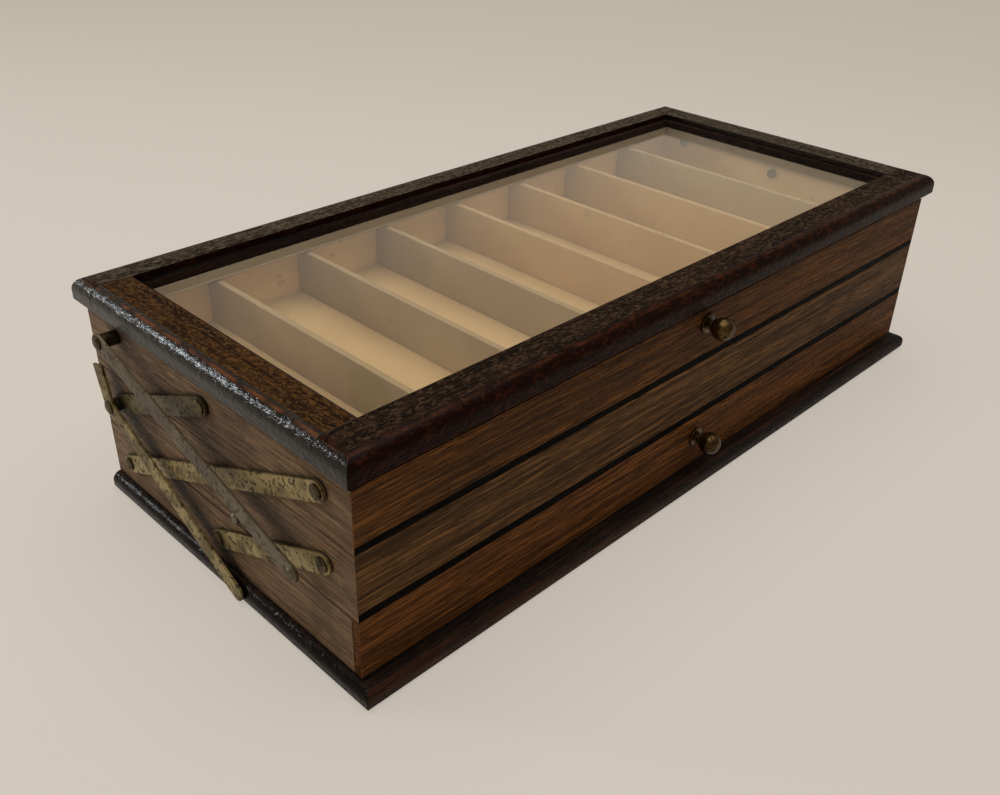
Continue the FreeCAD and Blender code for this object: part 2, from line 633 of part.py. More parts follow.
def legs():
    """Swinging legs: a straight one on the top tray and a cranked one on the middle tray."""
    start, end = ("leg_pivot_y", "leg_pivot_z"), ("leg_end_y", "leg_end_z")
    for word, side in ENDS.items():
        strap("top_leg_" + word, start, end, "leg_width", [start, end], layer(side, "leg_high"), "link_thick")
        piece(rivet("top_leg_rivet_" + word, side, end, "leg_high"))

    def beside(along, angle, across):
        """A point along a direction from the pivot, and across it by part of the width."""
        y = "pivot_back + %s * cos(%s) - %s * sin(%s)" % (along, angle, across, angle)
        z = "pivot_middle + %s * sin(%s) + %s * cos(%s)" % (along, angle, across, angle)
        return y, z

    foot, tail = "(180 + middle_leg_droop)", "(middle_leg_droop + middle_leg_crank)"
    side_step, round_end = "leg_width / 2", "(middle_leg_reach - 0.38 * leg_width)"
    elbow = "(leg_width / 2 / cos(middle_leg_crank / 2))"
    bend = "(middle_leg_droop + middle_leg_crank / 2)"
    corners = [
        beside(round_end, foot, "-" + side_step) + ("0.52 * leg_width",), beside(round_end, foot, side_step),
        beside("0", bend, "-" + elbow), beside("middle_leg_tail", tail, "-" + side_step),
        beside("middle_leg_tail", tail, side_step), beside("0", bend, elbow),
    ]
    for word, side in ENDS.items():
        name = "middle_leg_" + word
        low = layer(side, "leg_low")
        blank = plate(name + "_blank", corners, low, "link_thick", "YZ_Plane")
        bore = rod(name + "_bore", "x", "hole", "%s - 1" % low, "%s + link_thick + 1" % low,
                   ("pivot_back", "pivot_middle"))
        piece(cut(name, blank, [bore]))


def rivet(name, side, at, face):
    """Rivet through a bar, with a flat head on each side."""
    far, big = "%s + link_thick" % face, "rivet_head / 2"
    profile = [("%s - rivet_thick" % face, "0"), ("%s - rivet_thick" % face, big), (face, big), (face, "pin"),
               (far, "pin"), (far, big), ("%s + rivet_thick" % far, "0.8 * " + big),
               ("%s + rivet_thick" % far, "0")]
    corners = [("%d * (%s)" % (side, x), r) for x, r in profile]
    return turned(name, corners, "XY_Plane", "H_Axis", ("0", at[0], at[1]))


def bolt(name, side, at, head):
    """Pivot bolt through an end board, with a low domed head outside."""
    inner, big = "half - wall - nut_thick - bolt_tail", "head_size / 2"
    profile = [(inner, "0"), (inner, "pin"), (head, "pin"), (head, big), ("%s + head_thick / 2" % head, big),
               ("%s + head_thick" % head, "0.6 * " + big), ("%s + head_thick" % head, "0")]
    corners = [("%d * (%s)" % (side, x), r) for x, r in profile]
    return turned(name, corners, "XY_Plane", "H_Axis", ("0", at[0], at[1]))


def ring(name, side, at, near, far, size):
    """Washer or spacer round a bolt."""
    x = reach(side, near, far)
    disc = rod(name + "_disc", "x", "%s / 2" % size, x[0], x[1], at)
    bore = rod(name + "_bore", "x", "hole", "%s - 1" % x[0], "%s + 1" % x[1], at)
    return cut(name, disc, [bore])


def nut(name, side, at, face):
    """Six-sided nut inside an end board."""
    x = reach(side, "%s - nut_thick" % face, face)
    prism = doc.addObject("Part::Prism", name + "_hex")
    prism.Placement = FreeCAD.Placement(
        FreeCAD.Vector(), FreeCAD.Rotation(FreeCAD.Vector(0, 0, 1), FreeCAD.Vector(1, 0, 0)))
    bind(prism, Circumradius="nut_size / 2", Height="nut_thick")
    bind(prism, Placement__Base__x=x[0], Placement__Base__y=at[0], Placement__Base__z=at[1])
    bore = rod(name + "_bore", "x", "hole", "%s - 1" % x[0], "%s + 1" % x[1], at)
    return cut(name, prism, [bore])


def pivots(tier, places, face, legs_at=()):
    """Bolts, nuts and rings of one tier's pivots; legs_at maps a pivot to its leg's face."""
    bolts, nuts, rings = [], [], []
    for end, side in ENDS.items():
        for i, at in enumerate(places):
            tag = "%s_%s_%d" % (tier, end, i)
            leg = dict(legs_at).get(at)
            head = "%s + link_thick + face_gap" % (leg or "link_out")
            bolts.append(bolt(tag + "_bolt", side, at, head))
            nuts.append(nut(tag + "_nut", side, at, face))
            linked = leg != "leg_high"
            if linked:
                rings.append(ring(tag + "_washer", side, at, "half + face_gap / 2", "link_out - face_gap / 2",
                                  "washer_size"))
            if leg:
                start = "link_top + face_gap" if linked else "half + face_gap / 2"
                rings.append(ring(tag + "_spacer", side, at, start, "%s - face_gap" % leg, "head_size"))
    piece(group(tier + "_bolts", bolts))
    piece(group(tier + "_nuts", nuts))
    piece(group(tier + "_washers", rings))


def all_pivots():
    pivots("bottom", [("pivot_back", "pivot_bottom"), ("0", "pivot_bottom")], "half - wall")
    shared, leg_pin = ("pivot_back", "pivot_middle"), ("leg_pivot_y", "leg_pivot_z")
    pivots("middle", [shared, ("0", "pivot_middle"), ("pivot_front", "pivot_middle")], "inner_x",
           [(shared, "leg_low")])
    pivots("top", [("0", "pivot_top"), ("pivot_front", "pivot_top"), leg_pin], "inner_x",
           [(leg_pin, "leg_high")])


def stop_screws():
    """Screws on the middle tray that the long links come to rest on when the case is open."""
    screws = []
    for end, side in ENDS.items():
        profile = [("half", "0"), ("half", "stop_size / 2"), ("link_out + link_thick / 2", "stop_size / 2"),
                   ("link_top", "0.35 * stop_size"), ("link_top", "0")]
        corners = [("%d * (%s)" % (side, x), r) for x, r in profile]
        screws.append(turned("stop_screw_" + end, corners, "XY_Plane", "H_Axis", ("0", "stop_y", "stop_z")))
    piece(group("stop_screws", screws))


base()
bottom_tier()
drawer()
middle_tray()
top_tray()
lid()
lid_hinges()
links()
legs()
all_pivots()
stop_screws()
doc.recompute()

for item in doc.Objects:
    if {"Invalid", "Error"} & set(item.State):
        raise RuntimeError("%s failed: %s" % (item.Name, item.State))
os.makedirs("parts", exist_ok=True)
for item in pieces:
    if item.Shape.isNull() or not item.Shape.isValid() or not item.Shape.Solids:
        raise RuntimeError("%s has no valid solid" % item.Label)
    item.Shape.exportStep("parts/%s.step" % item.Label)
print("%d pieces, %d solids" % (len(pieces), sum(len(item.Shape.Solids) for item in pieces)))
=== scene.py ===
"""Oak cantilever display case: its finishes, with the light and the camera around it."""
import json
import math

import bmesh
import bpy
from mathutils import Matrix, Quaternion, Vector

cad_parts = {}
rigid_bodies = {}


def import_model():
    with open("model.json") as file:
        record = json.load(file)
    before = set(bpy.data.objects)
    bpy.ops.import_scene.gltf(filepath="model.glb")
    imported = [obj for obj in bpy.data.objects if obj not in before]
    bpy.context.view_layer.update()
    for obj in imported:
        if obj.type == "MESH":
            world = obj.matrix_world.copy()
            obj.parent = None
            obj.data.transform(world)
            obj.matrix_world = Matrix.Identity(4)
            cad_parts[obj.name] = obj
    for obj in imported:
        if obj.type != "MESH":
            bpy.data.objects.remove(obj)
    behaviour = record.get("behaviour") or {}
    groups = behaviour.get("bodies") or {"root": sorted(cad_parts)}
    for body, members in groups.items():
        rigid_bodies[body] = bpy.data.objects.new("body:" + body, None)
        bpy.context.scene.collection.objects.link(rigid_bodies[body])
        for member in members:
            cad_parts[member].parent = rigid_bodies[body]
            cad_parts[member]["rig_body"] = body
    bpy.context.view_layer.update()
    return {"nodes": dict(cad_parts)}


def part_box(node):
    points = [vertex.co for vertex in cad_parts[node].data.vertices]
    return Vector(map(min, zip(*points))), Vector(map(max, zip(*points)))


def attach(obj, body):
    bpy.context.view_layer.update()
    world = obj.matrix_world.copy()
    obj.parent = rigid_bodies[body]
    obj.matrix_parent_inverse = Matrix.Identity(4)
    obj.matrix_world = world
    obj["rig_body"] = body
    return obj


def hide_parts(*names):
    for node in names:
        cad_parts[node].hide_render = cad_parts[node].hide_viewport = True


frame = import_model()

SOCKETS = {"vector": "NodeSocketVector", "value": "NodeSocketFloat", "colour": "NodeSocketColor"}
PANE_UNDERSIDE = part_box("glass_pane")[0][2]

# Widths of eased edges, in metres
BOARD_EDGE = 0.0006
END_BOARD_EDGE = 0.0012
CARD_EDGE = 0.0005
FINE_EDGE = 0.0003

# Angles between faces: flat enough to join, sharp enough to ease, sharp in shading
FLAT_TURN = math.radians(0.5)
SHARP_TURN = math.radians(30)
SHADING_TURN = math.radians(50)

# Shares of a face's normal: level tops, sides that look left or right, slanted edges
LEVEL = 0.998
SIDEWAYS = 0.4
SLANTED = 0.2

# Finishes of a lid board, in the order of its material slots
FLAT_TOP, LONG_MOULD, LEDGE, END_MOULD = range(4)


def srgb(red, green, blue):
    """Linear colour from display values of 0 to 255."""
    return tuple(((c / 255 + 0.055) / 1.055) ** 2.4 for c in (red, green, blue)) + (1.0,)


SEAM_DIRT_AND_SHADE = srgb(12, 8, 5)
DARK_CLOUD = srgb(36, 25, 16)
WORN_TOP_EDGE = srgb(116, 64, 25)
WORN_SHOULDER = srgb(108, 60, 25)
CARD_SPOTS = srgb(120, 84, 44)
CARD_DIRT_AND_SHADE = srgb(112, 84, 52)
GLUE_STAIN = srgb(142, 120, 48)
BRASS_DIRT_AND_SHADE = srgb(20, 15, 9)
NEAR_FLOOR = srgb(206, 198, 187)
FAR_WALL = srgb(191, 183, 170)

GLUE_STAIN_PLACE = (-0.2215, -0.052, 0.118)
NEWER_CARD_FROM = -0.03
NEWER_CARD_TO = 0.18

FLOOR_HALF_SIZE = 40.0
CASE_MIDDLE = (0.0, 0.0, 0.1)
CAMERA_PLACE = (-0.5450, -0.4720, 0.4428)
CAMERA_TARGET = (0.0061, 0.0655, -0.0236)
CAMERA_ROLL = math.radians(1.5)
CAMERA_LENS = 37.1


# Small helpers for node trees

def wire(tree, socket, value):
    """Link a socket to another, or set it to a plain value."""
    if isinstance(value, bpy.types.NodeSocket):
        tree.links.new(value, socket)
    else:
        socket.default_value = value


def put(tree, kind, settings=None, **inputs):
    """Add a shader node; an input's name has underscores for spaces."""
    node = tree.nodes.new("ShaderNode" + kind)
    for name, value in (settings or {}).items():
        setattr(node, name, value)
    for name, value in inputs.items():
        wire(tree, node.inputs[name.replace("_", " ")], value)
    return node


def calc(tree, operation, first, second=0.0):
    """One step of arithmetic."""
    node = put(tree, "Math", {"operation": operation})
    wire(tree, node.inputs[0], first)
    wire(tree, node.inputs[1], second)
    return node.outputs[0]


def product(tree, *factors):
    """All factors multiplied."""
    result = factors[0]
    for factor in factors[1:]:
        result = calc(tree, "MULTIPLY", result, factor)
    return result


def mix(tree, share, first, second):
    """A colour between two others."""
    node = put(tree, "Mix", {"data_type": "RGBA"})
    for index, value in ((0, share), (6, first), (7, second)):
        wire(tree, node.inputs[index], value)
    return node.outputs[2]


def fade(tree, value, low, high):
    """0 at low and 1 at high, smooth between."""
    settings = {"interpolation_type": "SMOOTHSTEP"}
    return put(tree, "MapRange", settings, Value=value, From_Min=low, From_Max=high).outputs[0]


def ease(tree, value, low, high):
    """A share of 0 to 1 turned into a value from low to high."""
    return put(tree, "MapRange", Value=value, To_Min=low, To_Max=high).outputs[0]


def vector_calc(tree, operation, first, second=(0.0, 0.0, 0.0), output="Vector"):
    """One step of arithmetic with vectors."""
    node = put(tree, "VectorMath", {"operation": operation})
    wire(tree, node.inputs[0], first)
    wire(tree, node.inputs[1], second)
    return node.outputs[output]


def stretch(tree, vector, factors):
    """A vector scaled along each axis."""
    return vector_calc(tree, "MULTIPLY", vector, factors)


def noise(tree, vector, scale, detail=2.0, distortion=0.0):
    """Cloudy noise around 0.5."""
    node = put(tree, "TexNoise", Vector=vector, Scale=scale, Detail=detail, Distortion=distortion)
    return node.outputs["Fac"]


def group(name, inputs, outputs):
    """A new node group with its inputs and outputs by name."""
    tree = bpy.data.node_groups.new(name, "ShaderNodeTree")
    for label, kind in inputs.items():
        tree.interface.new_socket(label, in_out="INPUT", socket_type=SOCKETS[kind])
    for label, kind in outputs.items():
        tree.interface.new_socket(label, in_out="OUTPUT", socket_type=SOCKETS[kind])
    start = tree.nodes.new("NodeGroupInput").outputs
    end = tree.nodes.new("NodeGroupOutput").inputs
    return tree, start, end


def use(tree, name, **inputs):
    """Place a node group in a material."""
    node = tree.nodes.new("ShaderNodeGroup")
    node.node_tree = bpy.data.node_groups[name]
    for label, value in inputs.items():
        wire(tree, node.inputs[label], value)
    return node.outputs


# Effects that several finishes share

def make_oak_grain():
    """Oak figure along X of its vector: bands, fine streaks and open pores."""
    colours = {"Dark": "colour", "Mid": "colour", "Light": "colour"}
    tree, start, end = group("oak_grain", {"Vector": "vector", **colours},
                             {"Colour": "colour", "Height": "value"})
    place = start["Vector"]
    bands = noise(tree, stretch(tree, place, (2.5, 60, 60)), 1.0, detail=4.0, distortion=0.6)
    streaks = noise(tree, stretch(tree, place, (14, 330, 330)), 1.0, detail=4.0, distortion=0.2)
    fibres = noise(tree, stretch(tree, place, (55, 900, 900)), 1.0)
    tone = calc(tree, "ADD", product(tree, bands, 0.32), product(tree, streaks, 0.68))
    colour = mix(tree, fade(tree, tone, 0.40, 0.51), start["Dark"], start["Mid"])
    colour = mix(tree, fade(tree, tone, 0.50, 0.61), colour, start["Light"])
    pores = fade(tree, fibres, 0.52, 0.60)
    wire(tree, end["Colour"], mix(tree, product(tree, pores, 0.8), colour, start["Dark"]))
    wire(tree, end["Height"], calc(tree, "SUBTRACT", streaks, product(tree, pores, 0.5)))


def make_old_varnish():
    """Shrunken varnish: flecks along X of its vector, with gaps that show the wood."""
    tree, start, end = group("old_varnish", {"Vector": "vector", "Scale": "value"},
                             {"Flecks": "value", "Height": "value"})
    place = stretch(tree, start["Vector"], (0.5, 1, 1))
    lumps = noise(tree, place, start["Scale"], detail=3.0, distortion=0.8)
    grit = noise(tree, place, calc(tree, "MULTIPLY", start["Scale"], 2.3))
    wire(tree, end["Flecks"], fade(tree, lumps, 0.50, 0.62))
    wire(tree, end["Height"], calc(tree, "ADD", lumps, product(tree, grit, 0.5)))


def make_edge_wear_and_shade():
    """Marked edges, broken up along their length: rubbed wear on the wood, and tarnish with painted
    shade on the brass.
    """
    tree, start, end = group("edge_wear_and_shade", {"Vector": "vector", "Radius": "value"}, {"Wear_and_shade": "value"})
    soft = put(tree, "Bevel", {"samples": 6}, Radius=start["Radius"]).outputs["Normal"]
    true = put(tree, "NewGeometry").outputs["Normal"]
    alike = vector_calc(tree, "DOT_PRODUCT", soft, true, "Value")
    edge = fade(tree, calc(tree, "SUBTRACT", 1.0, alike), 0.02, 0.22)
    broken = fade(tree, noise(tree, start["Vector"], 70.0, detail=4.0), 0.40, 0.62)
    wire(tree, end["Wear_and_shade"], product(tree, edge, broken))


def make_corner_dirt_and_shade():
    """Darkening where surfaces meet, from ambient occlusion: dirt and painted shade."""
    tree, start, end = group("corner_dirt_and_shade", {"Reach": "value"}, {"Dirt_and_shade": "value"})
    light = put(tree, "AmbientOcclusion", {"samples": 6}, Distance=start["Reach"]).outputs["AO"]
    wire(tree, end["Dirt_and_shade"], fade(tree, light, 0.75, 0.2))


def make_tarnish():
    """Old brass: bright, dull and dark stages of tarnish."""
    colours = {"Bright": "colour", "Dull": "colour", "Dark": "colour"}
    tree, start, end = group("tarnish", {"Vector": "vector", **colours},
                             {"Colour": "colour", "Roughness": "value", "Height": "value"})
    clouds = noise(tree, start["Vector"], 48.0, detail=4.0)
    specks = fade(tree, noise(tree, start["Vector"], 300.0, detail=4.0), 0.51, 0.62)
    colour = mix(tree, fade(tree, clouds, 0.40, 0.60), start["Bright"], start["Dull"])
    wire(tree, end["Colour"], mix(tree, product(tree, specks, 0.8), colour, start["Dark"]))
    wire(tree, end["Roughness"], ease(tree, calc(tree, "MAXIMUM", clouds, specks), 0.30, 0.62))
    wire(tree, end["Height"], calc(tree, "SUBTRACT", product(tree, clouds, 0.4), specks))


def make_card_mottle():
    """Aged card: clouded tone with small brown spots."""
    tree, start, end = group("card_mottle", {"Vector": "vector", "Clean": "colour", "Aged": "colour"},
                             {"Colour": "colour", "Height": "value"})
    clouds = noise(tree, start["Vector"], 14.0, detail=4.0)
    fibre = noise(tree, start["Vector"], 900.0)
    spots = fade(tree, noise(tree, start["Vector"], 130.0), 0.68, 0.76)
    colour = mix(tree, fade(tree, clouds, 0.36, 0.66), start["Clean"], start["Aged"])
    wire(tree, end["Colour"], mix(tree, product(tree, spots, 0.35), colour, CARD_SPOTS))
    wire(tree, end["Height"], fibre)


# Finishes

def material(name):
    """A new material, its node tree and its surface shader."""
    item = bpy.data.materials.new(name)
    item.use_nodes = True
    return item, item.node_tree, item.node_tree.nodes["Principled BSDF"]


def board_place(tree, along):
    """Coordinates with X along the grain, shifted from board to board."""
    chance = put(tree, "ObjectInfo").outputs["Random"]
    shift = put(tree, "CombineXYZ", X=product(tree, chance, 9.0), Y=product(tree, chance, 5.0),
                Z=product(tree, chance, 7.0)).outputs[0]
    place = vector_calc(tree, "ADD", put(tree, "TexCoord").outputs["Object"], shift)
    if along == "x":
        return place
    parts = put(tree, "SeparateXYZ", Vector=place).outputs
    return put(tree, "CombineXYZ", X=parts["Y"], Y=parts["X"], Z=parts["Z"]).outputs[0]


def upward(tree):
    """How far a face looks up: 1 on a flat top, 0 on an upright side."""
    facing = put(tree, "TexCoord").outputs["Normal"]
    return put(tree, "SeparateXYZ", Vector=facing).outputs["Z"]


def bump(tree, surface, height, strength, depth):
    """Fine relief of a surface."""
    node = put(tree, "Bump", Strength=strength, Distance=depth, Height=height)
    wire(tree, surface.inputs["Normal"], node.outputs[0])


def blend_surface(tree, share, first, second):
    """End a material with a share of the second shader over the first."""
    blend = put(tree, "MixShader")
    for socket, value in zip(blend.inputs, (share, first.outputs[0], second.outputs[0])):
        wire(tree, socket, value)
    wire(tree, tree.nodes["Material Output"].inputs["Surface"], blend.outputs[0])


def lid_top_oak(name, along, dark, mid, light):
    """Flat face of the lid frame: dull oak with shrunken varnish in flecks."""
    item, tree, surface = material(name)
    place = board_place(tree, along)
    grain = use(tree, "oak_grain", Vector=place, Dark=dark, Mid=mid, Light=mid)
    varnish = use(tree, "old_varnish", Vector=place, Scale=500.0)
    colour = mix(tree, product(tree, varnish["Flecks"], 0.7), grain["Colour"], light)
    # Low spots of the varnish relief are darkened: painted shade in the pits.
    pit_shade = fade(tree, varnish["Height"], 0.74, 0.62)
    colour = mix(tree, product(tree, pit_shade, 0.7), colour, dark)
    wear = use(tree, "edge_wear_and_shade", Vector=place, Radius=0.0016)["Wear_and_shade"]
    colour = mix(tree, product(tree, wear, 0.45), colour, WORN_TOP_EDGE)
    wire(tree, surface.inputs["Base Color"], colour)
    wire(tree, surface.inputs["Roughness"], ease(tree, varnish["Flecks"], 0.66, 0.46))
    surface.inputs["Specular IOR Level"].default_value = 0.03
    bump(tree, surface, varnish["Height"], strength=1.0, depth=0.0022)
    return item


def mould_oak(name, along, dark, light, gloss, wear_and_shade_share):
    """Rounded edges of the lid frame and the base: near-black varnish with a broken gloss."""
    item, tree, surface = material(name)
    place = board_place(tree, along)
    varnish = use(tree, "old_varnish", Vector=place, Scale=330.0)
    colour = mix(tree, product(tree, varnish["Flecks"], 0.6), dark, light)
    facing = upward(tree)
    shoulder = product(tree, fade(tree, facing, 0.84, 0.93), fade(tree, facing, 0.995, 0.95),
                       fade(tree, noise(tree, place, 60.0, detail=5.0), 0.38, 0.60))
    colour = mix(tree, product(tree, shoulder, wear_and_shade_share), colour, WORN_SHOULDER)
    wire(tree, surface.inputs["Base Color"], colour)
    wire(tree, surface.inputs["Roughness"], ease(tree, varnish["Flecks"], 0.14, 0.26))
    surface.inputs["Specular IOR Level"].default_value = gloss
    bump(tree, surface, varnish["Height"], strength=0.5, depth=0.0010)
    return item


def case_oak(name, along, dark, mid, light, rubbed, streak=0.0, cloud=0.0, reach=0.006, fine=1.0,
             gloss=0.12):
    """Tier boards: satin oak with rubbed streaks, clouded patches, and seams and corners darkened with
    dirt and painted shade.
    """
    item, tree, surface = material(name)
    place = board_place(tree, along)
    thread = stretch(tree, place, (1, fine, fine))
    grain = use(tree, "oak_grain", Vector=thread, Dark=dark, Mid=mid, Light=light)
    varnish = use(tree, "old_varnish", Vector=place, Scale=620.0)
    colour = grain["Colour"]
    if streak:
        bands = noise(tree, stretch(tree, place, (3.5, 80, 80)), 1.0, detail=4.0)
        band = fade(tree, bands, 0.52, 0.66)
        colour = mix(tree, product(tree, band, streak), colour, rubbed)
    if cloud:
        patch = fade(tree, noise(tree, place, 18.0, detail=5.0, distortion=0.6), 0.48, 0.60)
        colour = mix(tree, product(tree, patch, cloud), colour, DARK_CLOUD)
        halo = fade(tree, noise(tree, place, 13.0, detail=5.0), 0.57, 0.68)
        colour = mix(tree, product(tree, halo, cloud, 0.6), colour, rubbed)
    wear = use(tree, "edge_wear_and_shade", Vector=place, Radius=0.0014)["Wear_and_shade"]
    colour = mix(tree, product(tree, wear, 0.6), colour, rubbed)
    # Seams, corners and the ground around nearby parts are darkened by occlusion: dirt and painted
    # shade.
    dirt_and_shade = use(tree, "corner_dirt_and_shade", Reach=reach)["Dirt_and_shade"]
    colour = mix(tree, product(tree, dirt_and_shade, 0.85), colour, SEAM_DIRT_AND_SHADE)
    wire(tree, surface.inputs["Base Color"], colour)
    wire(tree, surface.inputs["Roughness"], ease(tree, varnish["Flecks"], 0.46, 0.66))
    surface.inputs["Specular IOR Level"].default_value = gloss
    height = calc(tree, "ADD", grain["Height"], product(tree, varnish["Height"], 0.6))
    bump(tree, surface, height, strength=0.9, depth=0.0018)
    return item


def plain_wood(name, along, dark, mid, light):
    """Unvarnished wood inside the case."""
    item, tree, surface = material(name)
    grain = use(tree, "oak_grain", Vector=board_place(tree, along), Dark=dark, Mid=mid, Light=light)
    # Corners of the drawer are darkened by occlusion: dirt and painted shade.
    dirt_and_shade = use(tree, "corner_dirt_and_shade", Reach=0.005)["Dirt_and_shade"]
    wire(tree, surface.inputs["Base Color"], mix(tree, product(tree, dirt_and_shade, 0.6), grain["Colour"], dark))
    surface.inputs["Roughness"].default_value = 0.72
    bump(tree, surface, grain["Height"], strength=0.3, depth=0.0004)
    return item


def card(name, clean, aged, upper=None, stain=None):
    """Cream card of the linings and partitions; upper is a darker tone for the faces that look up,
    painted shade that evens the overhead light between floors and upright faces.
    """
    item, tree, surface = material(name)
    mottle = use(tree, "card_mottle", Vector=board_place(tree, "x"), Clean=clean, Aged=aged)
    colour = mottle["Colour"]
    # Faces that look up are painted darker than the upright faces of the same card: painted shade.
    if upper:
        facing = fade(tree, upward(tree), 0.6, 0.9)
        colour = mix(tree, product(tree, facing, 0.8), colour, upper)
    if stain:
        place = put(tree, "TexCoord").outputs["Object"]
        gap = vector_calc(tree, "DISTANCE", place, stain, "Value")
        ragged = calc(tree, "ADD", gap, product(tree, mottle["Height"], 0.012))
        mark = fade(tree, ragged, 0.034, 0.022)
        colour = mix(tree, product(tree, mark, 0.7), colour, GLUE_STAIN)
    # Corners are darkened a little by occlusion: dirt and painted shade.
    dirt_and_shade = use(tree, "corner_dirt_and_shade", Reach=0.006)["Dirt_and_shade"]
    colour = mix(tree, product(tree, dirt_and_shade, 0.2), colour, CARD_DIRT_AND_SHADE)
    wire(tree, surface.inputs["Base Color"], colour)
    surface.inputs["Roughness"].default_value = 0.8
    bump(tree, surface, mottle["Height"], strength=0.15, depth=0.0002)
    return item


def brass(name, bright, dull, dark, depth=0.0003, polish=1.0):
    """Tarnished brass of the strips, bolts and knobs."""
    item, tree, surface = material(name)
    place = board_place(tree, "x")
    tarnish = use(tree, "tarnish", Vector=place, Bright=bright, Dull=dull, Dark=dark)
    wear_and_shade_share = use(tree, "edge_wear_and_shade", Vector=place, Radius=0.0010)["Wear_and_shade"]
    dirt_and_shade = use(tree, "corner_dirt_and_shade", Reach=0.004)["Dirt_and_shade"]
    # Edges of the strips are darkened: tarnish and painted shade along their outlines.
    colour = mix(tree, product(tree, wear_and_shade_share, 0.6), tarnish["Colour"], dark)
    # Hollows and the ground around nearby parts are darkened by occlusion: dirt and painted shade.
    colour = mix(tree, product(tree, dirt_and_shade, 0.85), colour, BRASS_DIRT_AND_SHADE)
    wire(tree, surface.inputs["Base Color"], colour)
    surface.inputs["Metallic"].default_value = 0.85
    wire(tree, surface.inputs["Roughness"], product(tree, tarnish["Roughness"], polish))
    bump(tree, surface, tarnish["Height"], strength=0.4, depth=depth)
    return item


def pane_glass():
    """Clear pane that lets lamps through."""
    item, tree, surface = material("pane_glass")
    surface.inputs["Base Color"].default_value = (1.0, 0.99, 0.96, 1.0)
    surface.inputs["Roughness"].default_value = 0.02
    surface.inputs["IOR"].default_value = 1.5
    surface.inputs["Transmission Weight"].default_value = 1.0
    clear = put(tree, "BsdfTransparent")
    path = put(tree, "LightPath").outputs
    passing = calc(tree, "MAXIMUM", path["Is Shadow Ray"], path["Is Diffuse Ray"])
    blend_surface(tree, passing, surface, clear)
    return item


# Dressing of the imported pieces

def eased_mesh(node, width):
    """A copy of a piece's mesh with its sharp edges taken off."""
    mesh = bmesh.new()
    mesh.from_mesh(frame["nodes"][node].data)
    bmesh.ops.remove_doubles(mesh, verts=mesh.verts, dist=1e-6)
    bmesh.ops.dissolve_limit(mesh, angle_limit=FLAT_TURN, verts=mesh.verts, edges=mesh.edges)
    sharp = [edge for edge in mesh.edges if edge.calc_face_angle(0) > SHARP_TURN]
    bmesh.ops.bevel(mesh, geom=sharp, offset=width, segments=2, profile=0.6, affect="EDGES",
                    clamp_overlap=True)
    for face in mesh.faces:
        face.smooth = True
    data = bpy.data.meshes.new(node + "_eased")
    mesh.to_mesh(data)
    mesh.free()
    data.set_sharp_from_angle(angle=SHADING_TURN)
    return data


def dress(node, finish, width, others=(), pick=None):
    """Show a piece with eased edges and its finish; a pick sorts its faces among other finishes."""
    piece = bpy.data.objects.new(node + "_eased", eased_mesh(node, width))
    bpy.context.scene.collection.objects.link(piece)
    for item in (finish, *others):
        piece.data.materials.append(item)
    if pick:
        for face in piece.data.polygons:
            face.material_index = pick(face)
    shading = piece.modifiers.new("flat_faces", "WEIGHTED_NORMAL")
    shading.keep_sharp = True
    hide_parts(node)
    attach(piece, frame["nodes"][node]["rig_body"])


def lid_part(face):
    """Flat top, long moulding, the ledge's inner face under the pane, or moulding at the ends."""
    inward = face.center.x * face.normal.x + face.center.y * face.normal.y < 0
    if inward and face.center.z < PANE_UNDERSIDE:
        return LEDGE
    if abs(face.normal.x) > SIDEWAYS and not inward:
        return END_MOULD
    return LONG_MOULD if face.normal.z < LEVEL else FLAT_TOP


def seam_part(face):
    """Eased long edges of an end board, where two tiers meet, take the near-black panel finish: painted
    shade in the groove.
    """
    return int(abs(face.normal.x) > SLANTED and abs(face.normal.z) > SLANTED)


def end_part(face):
    """Faces that look left or right."""
    return int(abs(face.normal.x) > SIDEWAYS)


def newer_part(face):
    """Three partitions from the middle to the right are of newer card."""
    return int(NEWER_CARD_FROM < face.center.x < NEWER_CARD_TO)


def coat(node, finish):
    """Give a piece its finish as it is."""
    data = frame["nodes"][node].data
    data.materials.clear()
    data.materials.append(finish)


